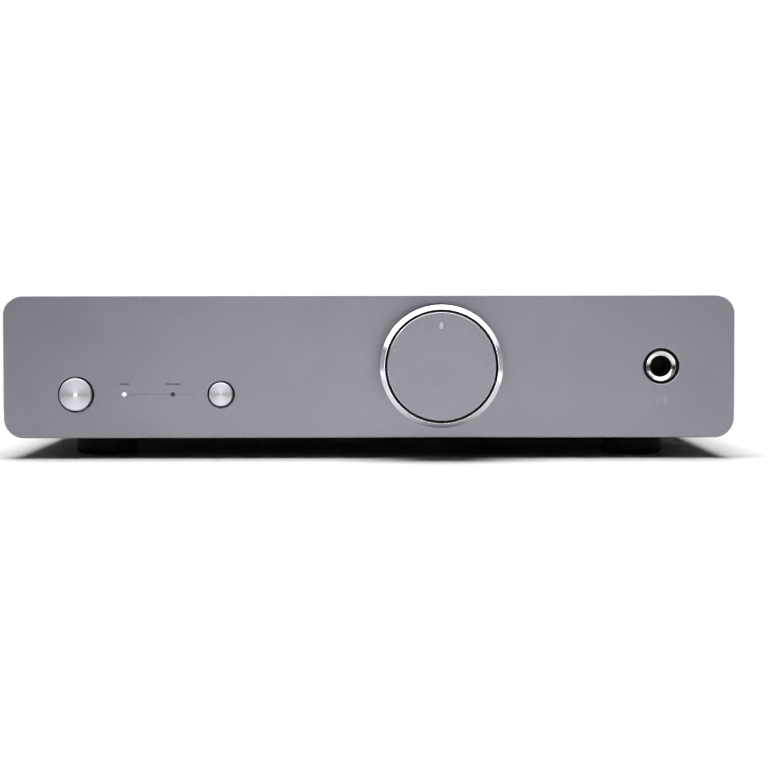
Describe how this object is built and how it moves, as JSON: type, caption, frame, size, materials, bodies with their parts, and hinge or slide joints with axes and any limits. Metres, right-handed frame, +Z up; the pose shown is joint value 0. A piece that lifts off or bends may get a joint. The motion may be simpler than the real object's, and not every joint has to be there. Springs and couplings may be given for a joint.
{
  "type": "headphone amplifier",
  "caption": "Half-width desktop headphone amplifier: metal case on rubber feet, turning volume knob, two push buttons, headphone socket, line sockets and mains inlet.",
  "frame": {"origin": "on the shelf under the middle of the whole unit, knob face to socket ends", "axes": "+X to the right seen from the front, +Y from the front panel to the back, +Z up"},
  "size_m": [0.215, 0.159, 0.048],
  "materials": {
    "anodised_grey": "fine bead-blasted grey anodised aluminium",
    "painted_grey": "grey powder coat on steel sheet",
    "painted_black": "black powder coat on steel sheet",
    "zinc_steel": "bright zinc-plated steel",
    "turned_aluminium": "turned bare aluminium",
    "black_rubber": "moulded black rubber",
    "black_plastic": "moulded black plastic",
    "light_pipe": "clear moulded acrylic",
    "light_pipe_unlit": "clear moulded acrylic, lamp off",
    "nickel": "bright nickel plate on brass",
    "spring_brass": "sprung brass strip",
    "circuit_board": "green solder resist on glass-fibre board",
    "copper_windings": "enamelled copper wire wound on a steel ring",
    "capacitor_sleeve": "printed-free shrink sleeve on an aluminium can",
    "black_aluminium": "black anodised extrusion",
    "ribbon": "grey flat ribbon insulation",
    "lead_insulation": "red wire insulation"
  },
  "bodies": {
    "case": {"front_panel": "anodised_grey", "base_tray": "painted_black", "top_cover": "painted_grey", "rear_panel": "painted_grey", "foot_front_left": "black_rubber", "cover_screw_front_left": "zinc_steel", "foot_front_right": "black_rubber", "cover_screw_front_right": "zinc_steel", "foot_rear_left": "black_rubber", "cover_screw_rear_left": "zinc_steel", "foot_rear_right": "black_rubber", "cover_screw_rear_right": "zinc_steel", "volume_control_body": "black_plastic", "volume_nut": "nickel", "power_button_spring": "zinc_steel", "power_button_guide": "black_plastic", "power_switch": "black_plastic", "selector_button_spring": "zinc_steel", "selector_button_guide": "black_plastic", "selector_switch": "black_plastic", "indicator_lens_1": "light_pipe", "indicator_lens_2": "light_pipe_unlit", "jack_body": "black_plastic", "jack_ferrule": "nickel", "jack_contact_tip": "spring_brass", "jack_contact_ring": "spring_brass", "control_board": "circuit_board", "main_board": "circuit_board", "heat_sink": "black_aluminium", "filter_capacitor_1": "capacitor_sleeve", "filter_capacitor_2": "capacitor_sleeve", "ribbon_cable": "ribbon", "secondary_lead": "lead_insulation", "transformer": "copper_windings", "transformer_pad": "black_rubber", "transformer_washer": "zinc_steel", "transformer_bolt": "zinc_steel", "phono_block_input_1": "black_plastic", "phono_shell_input_1_left": "nickel", "phono_shell_input_1_right": "nickel", "phono_block_input_2": "black_plastic", "phono_shell_input_2_left": "nickel", "phono_shell_input_2_right": "nickel", "phono_block_output": "black_plastic", "phono_shell_output_left": "nickel", "phono_shell_output_right": "nickel", "mains_inlet": "black_plastic", "mains_pin_1": "nickel", "mains_pin_2": "nickel"},
    "volume_knob": {"knob_shell": "anodised_grey", "knob_hub": "black_plastic", "knob_face": "anodised_grey", "knob_pointer": "light_pipe_unlit", "knob_set_screw": "zinc_steel", "volume_shaft": "turned_aluminium"},
    "power_key": {"power_button": "turned_aluminium", "power_button_lens": "light_pipe", "power_switch_plunger": "light_pipe_unlit"},
    "selector_key": {"selector_button": "turned_aluminium", "selector_switch_plunger": "light_pipe_unlit"}
  },
  "joints": [
    {"name": "volume_turn", "type": "hinge", "parent": "case", "child": "volume_knob", "pos_m": [0.0211, -0.0655, 0.02735], "axis": [0, 1, 0], "range_deg": [-150, 150]},
    {"name": "power_press", "type": "slide", "parent": "case", "child": "power_key", "axis": [0, 1, 0], "range_m": [0, 0.0012], "stiffness_N_per_m": 800, "springref_m": -0.002, "deforming": ["power_button_spring"]},
    {"name": "selector_press", "type": "slide", "parent": "case", "child": "selector_key", "axis": [0, 1, 0], "range_m": [0, 0.0012], "stiffness_N_per_m": 800, "springref_m": -0.002, "deforming": ["selector_button_spring"]}
  ]
}
